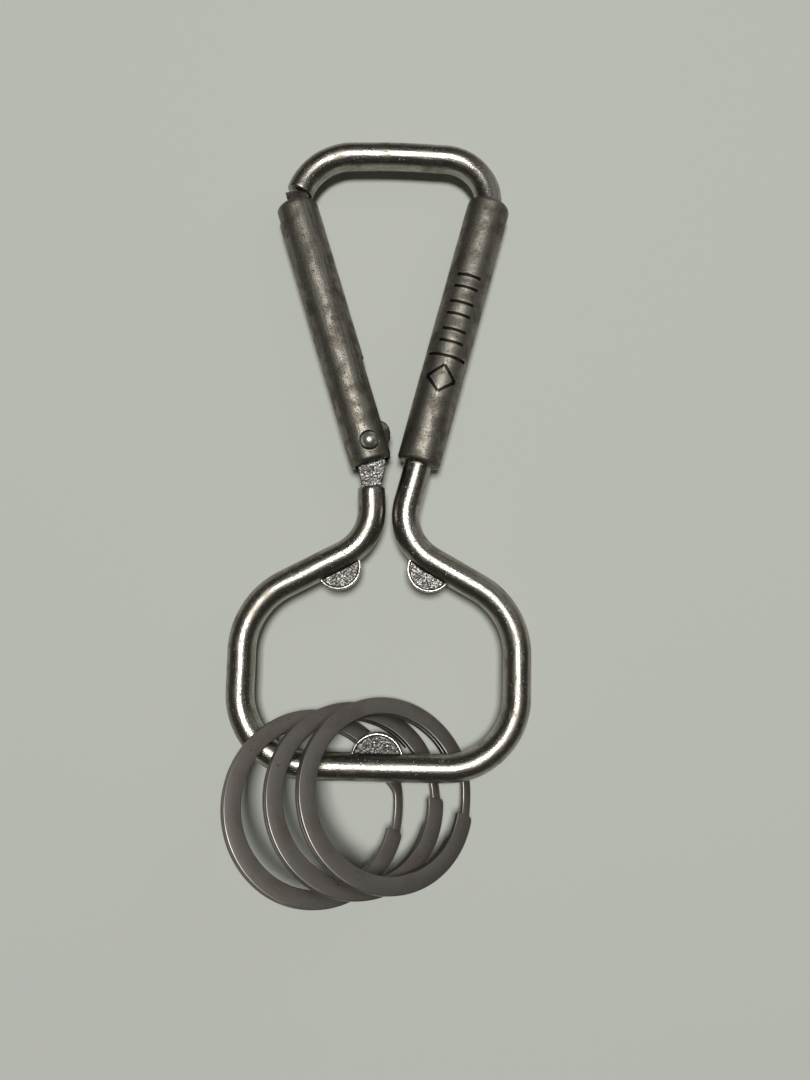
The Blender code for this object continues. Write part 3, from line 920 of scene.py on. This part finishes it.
def paint(item, chosen):
    """Give an item every casting finish, and use one of them all over it."""
    for finish in casting_finishes:
        item.data.materials.append(finish)
    item.data.polygons.foreach_set("material_index", [chosen] * len(item.data.polygons))


def settle(item, place):
    """Move a piece from its own plane to where it lies, smooth but for its real edges."""
    item.data.transform(place)
    item.data.shade_smooth()
    item.data.set_sharp_from_angle(angle=math.radians(REAL_EDGE_DEG))


paint(casting, PLAIN_BAR)
paint(sleeve, DARK_SLEEVE)
paint(tang, AS_CAST)
# Painted shade: the tang's end inside the gate and the whole tongue, which sits in the
# dark nose gap, get the near-black finish
for face in tang.data.polygons:
    if (face.center.xy - axis_foot).dot(gate_up) > -TANG_FLARE / 2:
        face.material_index = PRESSED_AND_SHADED
paint(tongue, PRESSED_AND_SHADED)
sunk_below = TAB_TOP - TAB_RECESS + TAB_EDGE / 4
for tab in tabs:
    paint(tab, PLAIN_BAR)
    for face in tab.data.polygons:
        if face.normal.z > FACES_UP and face.center.z < sunk_below:
            face.material_index = AS_CAST
paint(stamp, PRESSED_AND_SHADED)
rivet_way = disc("rivet_way", PIVOT, RIVET_SHANK_R + RUNNING_FIT, -TANG_T, TANG_T)
paint(rivet_way, AS_CAST)
combine(casting, [sleeve, tang, tongue, *tabs], "UNION")
combine(casting, [rivet_way, stamp], "DIFFERENCE")
settle(casting, lie_flat)
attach(casting, "frame")
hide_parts("carabiner_frame")


# ---------------------------------------------------------------- plunger and spring
# Inside the gate's bore a turned steel pin is pushed down on the tang's cam by a short
# coil of round spring wire. They are dropped in before the gate goes on the tang.

BORE_R = 0.0018
BORE_LENGTH = 0.0170
PLUNGER_HEAD = 0.0024
PLUNGER_STEM_R = 0.00075
PLUNGER_STEM = 0.0050
PLUNGER_EDGE = 0.00025
PIN_SIDES = 48
SPRING_WIRE_R = 0.0002
SPRING_TURNS = 9
SPRING_TURN_STEPS = 40
SPRING_WIRE_SIDES = 14
CAM_TOP = max(eye_r, CAM_AT[1] + CAM_R)

plunger_base = CAM_TOP + RUNNING_FIT
spring_base = plunger_base + PLUNGER_HEAD + RUNNING_FIT
head_r = BORE_R - SIDE_CLEARANCE
plunger_profile = [
    (0.0, 0.0),
    (head_r - PLUNGER_EDGE, 0.0),
    (head_r - PLUNGER_EDGE / 3, PLUNGER_EDGE / 3),
    (head_r, PLUNGER_EDGE),
    (head_r, PLUNGER_HEAD - PLUNGER_EDGE / 3),
    (head_r - PLUNGER_EDGE / 3, PLUNGER_HEAD),
    (PLUNGER_STEM_R, PLUNGER_HEAD),
    (PLUNGER_STEM_R, PLUNGER_HEAD + PLUNGER_STEM - PLUNGER_EDGE),
    (PLUNGER_STEM_R - PLUNGER_EDGE, PLUNGER_HEAD + PLUNGER_STEM),
    (0.0, PLUNGER_HEAD + PLUNGER_STEM),
]
plunger = turned(
    "plunger_pin",
    plunger_profile,
    Vector(on_gate(0.0, plunger_base)),
    gate_up,
    PIN_SIDES,
)


def coil_loops():
    """Sections of the spring's wire along its coil, in the gate's own directions."""
    coil_r = BORE_R - SIDE_CLEARANCE - SPRING_WIRE_R - RUNNING_FIT
    low = spring_base + SPRING_WIRE_R
    high = BORE_LENGTH - RUNNING_FIT - SPRING_WIRE_R
    steps = SPRING_TURN_STEPS * SPRING_TURNS
    loops = []
    runs = []
    for step in range(steps + 1):
        turn = 2 * math.pi * SPRING_TURNS * step / steps
        height = low + (high - low) * step / steps
        loop = []
        run = []
        for number in range(SPRING_WIRE_SIDES):
            round_wire = 2 * math.pi * number / SPRING_WIRE_SIDES
            out = coil_r + SPRING_WIRE_R * math.cos(round_wire)
            rise = height + SPRING_WIRE_R * math.sin(round_wire)
            place = Vector((out * math.cos(turn), rise, -out * math.sin(turn)))
            loop.append(gate_place @ place)
            run.append((coil_r * turn, out, rise))
        loops.append(loop)
        runs.append(run)
    return loops, runs


spring = skin("coil_spring", *coil_loops())


LINES_A_METRE = (500.0, 9000.0, 9000.0)
LINED = (0.4, 0.7)
FILM_SCALE = 900.0
FILMED = (0.42, 0.62)


def drawn_steel(name, bright, dull, rough, line_height):
    """Drawn or turned steel with fine lines along it and a thin film of old oil."""
    finish = Finish(name)
    place = finish.node("ShaderNodeTexCoord", output=OBJECT_PLACE)
    run = finish.recorded("run", AS_VECTOR)
    lines = finish.mottle(finish.stretched(run, LINES_A_METRE), 1.0, PLAIN_DETAIL)
    film = finish.step(finish.mottle(place, FILM_SCALE, PLAIN_DETAIL), *FILMED)
    colour = finish.blend(film, (*bright, 1.0), (*dull, 1.0))
    colour = finish.blend(finish.step(lines, *LINED) * 0.5, colour, (*dull, 1.0))
    roughness = rough + film * 0.14 + lines * 0.1
    return finish.metal(colour, roughness, lines, line_height)


spring.data.materials.append(
    drawn_steel(
        "spring_wire_steel",
        bright=(0.50, 0.50, 0.51),
        dull=(0.25, 0.24, 0.23),
        rough=0.20,
        line_height=0.000004,
    )
)
plunger.data.materials.append(
    drawn_steel(
        "turned_pin_steel",
        bright=(0.46, 0.46, 0.46),
        dull=(0.22, 0.21, 0.20),
        rough=0.24,
        line_height=0.000005,
    )
)
for piece, body, node, slot in (
    (plunger, "plunger", "spring_plunger", "plunger_steel"),
    (spring, "gate", "gate_spring", "spring_steel"),
):
    settle(piece, lie_flat)
    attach(piece, body)
    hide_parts(node)

# The share of the coil's length left with the pin fully lifted is worked out, but nothing
# uses it; the spring gets a mesh of its own
slide = joints["plunger_slide"]
spring_top = BORE_LENGTH - RUNNING_FIT
1.0 - slide["range_m"][1] / (spring_top - spring_base)
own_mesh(spring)


# ---------------------------------------------------------------- gate
# The gate is a second casting, a hollow sleeve slotted for the tang at its foot and for
# the latch tongue at its top. It goes over the tang with the spring inside.

GATE_BELOW_PIVOT = 0.0030
GATE_LOW_EDGE = 0.0007
GATE_TOP_EDGE = 0.0012
GATE_SLOT_LENGTH = 0.0140
SLOT_HALF = TANG_T / 2 + SIDE_CLEARANCE
RIVET_HEAD_R = 0.0014
RIVET_DOME = 0.0009

gate_foot = Vector(on_gate(0.0, -GATE_BELOW_PIVOT))
gate_length = gate_top + GATE_BELOW_PIVOT
gate_profile = softened(
    gate_length, GATE_R, GATE_LOW_EDGE, GATE_TOP_EDGE, GATE_R / 3, BAR_STEP
)
gate = turned(
    "gate_sleeve", gate_profile, gate_foot, gate_up, SLEEVE_SIDES, SLEEVE_DRESSED
)
tongue_slot_low = gate_top - TONGUE_ENGAGEMENT - PART_GAP
tongue_slot_in = TONGUE_IN + TONGUE_W / 2 + PART_GAP
seat_r = RIVET_HEAD_R + SIDE_CLEARANCE
seat_z = math.sqrt(GATE_R**2 - (PIVOT_OFFSET + seat_r) ** 2)
deep = 2 * GATE_R
hollows = [
    slab(
        "hinge_slot",
        [
            on_gate(SLOT_WALL_X, -deep),
            on_gate(deep, -deep),
            on_gate(deep, GATE_SLOT_LENGTH),
            on_gate(SLOT_WALL_X, GATE_SLOT_LENGTH),
        ],
        -SLOT_HALF,
        SLOT_HALF,
    ),
    slab(
        "tongue_slot",
        [
            on_gate(-deep, tongue_slot_low),
            on_gate(tongue_slot_in, tongue_slot_low),
            on_gate(tongue_slot_in, gate_top + deep),
            on_gate(-deep, gate_top + deep),
        ],
        -TONGUE_T / 2 - SIDE_CLEARANCE,
        TONGUE_T / 2 + SIDE_CLEARANCE,
    ),
    turned(
        "spring_bore",
        [(BORE_R, 0.0), (BORE_R, BORE_LENGTH + deep)],
        Vector(on_gate(0.0, -deep)),
        gate_up,
        ROUND_SIDES,
    ),
    disc("rivet_hole", PIVOT, RIVET_SHANK_R + RUNNING_FIT, -deep, deep),
    disc("upper_seat", PIVOT, seat_r, seat_z, deep),
    disc("lower_seat", PIVOT, seat_r, -deep, -seat_z),
]
paint(gate, DARK_SLEEVE)
# Painted shade: the insides of the gate's slots, bore, rivet hole and seats get the
# near-black finish
for piece in hollows:
    paint(piece, PRESSED_AND_SHADED)
combine(gate, hollows, "DIFFERENCE")
settle(gate, lie_flat)
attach(gate, "gate")
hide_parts("gate")


# ---------------------------------------------------------------- rivet
# A nickel-plated pin goes through the gate and the tang's eye, and both of its ends are
# spun over into low domes that sit in shallow seats.

DOME_STEPS = 16

under_head = seat_z + SIDE_CLEARANCE
crown_z = GATE_R + RIVET_DOME
half_profile = [(0.0, crown_z)]
for step in range(1, DOME_STEPS + 1):
    turn = math.pi / 2 * step / DOME_STEPS
    half_profile.append(
        (
            RIVET_HEAD_R * math.sin(turn),
            under_head + (crown_z - under_head) * math.cos(turn),
        )
    )
half_profile.append((RIVET_SHANK_R, under_head))
rivet_profile = half_profile + [(radius, -z) for radius, z in reversed(half_profile)]
rivet_turns = [2 * math.pi * number / PIN_SIDES for number in range(PIN_SIDES)]
rivet_loops = [
    [
        Vector(
            (PIVOT.x + radius * math.cos(turn), PIVOT.y + radius * math.sin(turn), z)
        )
        for turn in rivet_turns
    ]
    for radius, z in rivet_profile
]
rivet = skin("rivet", rivet_loops, [[tuple(p) for p in loop] for loop in rivet_loops])
rivet.data.materials.append(
    antique(
        "nickel_dome",
        clean=(0.70, 0.68, 0.62),
        dull=(0.46, 0.44, 0.38),
        oxide=OXIDE,
        rough=0.30,
        grain_height=0.000010,
        dullness=0.56,
    )
)
settle(rivet, lie_flat)
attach(rivet, "gate")
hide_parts("gate_rivet")


# ---------------------------------------------------------------- split rings
# Each ring is a flat steel wire wound twice and pressed together. It is pinched narrow
# where it steps down past its own blunt end. The three are sprung open one after another
# and wound on to the bottom bar, and they lean on each other.

RING_R = 0.01413
RING_BAND = 0.0026
RING_NECK = 0.0014
LEAF_T = 0.00085
LEAF_GAP = 0.00010
LEAF_EDGE = 0.00020
JOGGLE_DEG = 34.0
END_GAP_DEG = 4.0
NECK_IN_DEG = 15.0
NECK_OUT_DEG = 18.0
BLUNT_R = 0.0007
RING_STEPS = 700
RING_END_STEPS_DEG = [0.1, 0.25, 0.45, 0.7]
RING_EDGE_STEPS = 4
RING_CORNERS = ((1, 1), (-1, 1), (-1, -1), (1, -1))
RINGS = (
    ("left", "split_ring_left", -17.0),
    ("middle", "split_ring_middle", -1.0),
    ("right", "split_ring_right", -15.0),
)


def eased(share):
    """0 to 1 with a smooth start and finish."""
    share = min(1.0, max(0.0, share))
    return share * share * (3 - 2 * share)


def leaf_height(turn_deg):
    """Height of the wire's middle in the stack, along its two turns."""
    step = (LEAF_T + LEAF_GAP) / 2
    joggle_end = 360.0 - END_GAP_DEG
    share = (turn_deg - joggle_end + JOGGLE_DEG) / JOGGLE_DEG
    return step * math.cos(math.pi * min(1.0, max(0.0, share)))


def band_edges(turn_deg, length_deg):
    """The inner and outer radius of the wire at a place along its two turns."""
    joggle_start = 360.0 - END_GAP_DEG - JOGGLE_DEG
    neck = eased((turn_deg - joggle_start) / NECK_IN_DEG)
    neck *= 1 - eased((turn_deg - 360.0 - END_GAP_DEG) / NECK_OUT_DEG)
    inner = RING_R - RING_BAND + (RING_BAND - RING_NECK) * neck
    outer = RING_R
    from_end = math.radians(min(turn_deg, length_deg - turn_deg)) * RING_R
    if from_end < BLUNT_R:
        outer -= BLUNT_R - math.sqrt(BLUNT_R**2 - (BLUNT_R - from_end) ** 2)
    return inner, outer


def ring_loops():
    """Sections of the flat wire along its two turns, with rounded edges."""
    length_deg = 720.0 - JOGGLE_DEG - 2 * END_GAP_DEG
    loops = []
    runs = []
    places = [0.0] + RING_END_STEPS_DEG
    places += [length_deg * step / RING_STEPS for step in range(1, RING_STEPS)]
    places += [length_deg - step for step in reversed(RING_END_STEPS_DEG)]
    places.append(length_deg)
    for turn_deg in places:
        inner, outer = band_edges(turn_deg, length_deg)
        half_w = (outer - inner) / 2
        middle = (outer + inner) / 2
        half_t = LEAF_T / 2
        height = leaf_height(turn_deg)
        turn = -math.radians(turn_deg)
        loop = []
        run = []
        for corner, (sx, sz) in enumerate(RING_CORNERS):
            for step in range(RING_EDGE_STEPS + 1):
                bend = math.pi / 2 * (corner + step / RING_EDGE_STEPS)
                across = sx * (half_w - LEAF_EDGE) + LEAF_EDGE * math.cos(bend)
                rise = sz * (half_t - LEAF_EDGE) + LEAF_EDGE * math.sin(bend)
                place = Vector(
                    (
                        (middle + across) * math.cos(turn),
                        (middle + across) * math.sin(turn),
                        height + rise,
                    )
                )
                loop.append(place)
                along = turn_deg * math.radians(1.0) * RING_R
                run.append((along, across, height + rise))
        loops.append(loop)
        runs.append(run)
    return loops, runs


AS_NUMBER = 2
SCRATCHES_A_METRE = (300.0, 7000.0, 7000.0)
SCRATCHED = (0.5, 0.75)
SATIN_CLOUDS = 260.0
CLOUDED = (0.40, 0.66)
SATIN_GRAIN = 6500.0
SPOT_SCALE = 1700.0
SPOTTED = (0.66, 0.74)
SATIN_PALE = (0.27, 0.245, 0.22)
SATIN_DARK = (0.205, 0.18, 0.155)
SCRATCH_COLOUR = (0.30, 0.285, 0.265)
SPOT_COLOUR = (0.10, 0.075, 0.055)
EDGE_HIGHLIGHT_COLOUR = (0.36, 0.34, 0.32)
SATIN_ROUGH = 0.36
SATIN_HEIGHT = 0.000006


def satin_steel(name):
    """Dark barrel-polished steel: a satin brown-grey face, with a painted highlight along
    its rounded edges.
    """
    finish = Finish(name)
    place = finish.node("ShaderNodeTexCoord", output=OBJECT_PLACE)
    run = finish.recorded("run", AS_VECTOR)
    along = finish.stretched(run, SCRATCHES_A_METRE)
    scratches = finish.mottle(along, 1.0, FINE_DETAIL)
    clouds = finish.step(finish.mottle(place, SATIN_CLOUDS, FINE_DETAIL), *CLOUDED)
    grain = finish.mottle(place, SATIN_GRAIN, SOFT_DETAIL)
    spots = finish.step(finish.mottle(place, SPOT_SCALE, SOFT_DETAIL), *SPOTTED)
    rim = finish.recorded("rim", AS_NUMBER)
    # Painted highlight: the wire's rounded edges are painted paler
    edge_wear_and_highlight = rim * (0.5 + clouds * 0.5)
    scratched = finish.step(scratches, *SCRATCHED) * 0.4
    colour = finish.blend(clouds, (*SATIN_PALE, 1.0), (*SATIN_DARK, 1.0))
    colour = finish.blend(scratched, colour, (*SCRATCH_COLOUR, 1.0))
    colour = finish.blend(spots * 0.5, colour, (*SPOT_COLOUR, 1.0))
    colour = finish.blend(edge_wear_and_highlight, colour, (*EDGE_HIGHLIGHT_COLOUR, 1.0))
    roughness = SATIN_ROUGH + clouds * 0.08 + grain * 0.08
    return finish.metal(colour, roughness, scratches + grain * 0.6, SATIN_HEIGHT)


ring_finish = satin_steel("satin_ring_steel")
wire_loops, wire_runs = ring_loops()
# Each rounded edge of the wire gets a painted highlight between its two flats
wire_rims = [0.0, 1.0, 1.0, 1.0, 0.0] * len(RING_CORNERS)
for side, node, end_deg in RINGS:
    ring = skin(f"{side}_ring_wire", wire_loops, wire_runs, wire_rims)
    turn_joint = joints[f"{side}_ring_turn"]
    ring_at = Matrix.Translation(turn_joint["pos_m"])
    lean_ring = Vector((0.0, 0.0, 1.0)).rotation_difference(Vector(turn_joint["axis"]))
    lean_ring = lean_ring.to_matrix().to_4x4()
    settle(ring, ring_at @ lean_ring @ Matrix.Rotation(math.radians(end_deg), 4, "Z"))
    ring.data.materials.append(ring_finish)
    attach(ring, f"{side}_ring")
    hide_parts(node)


# ---------------------------------------------------------------- last update

bpy.context.view_layer.update()
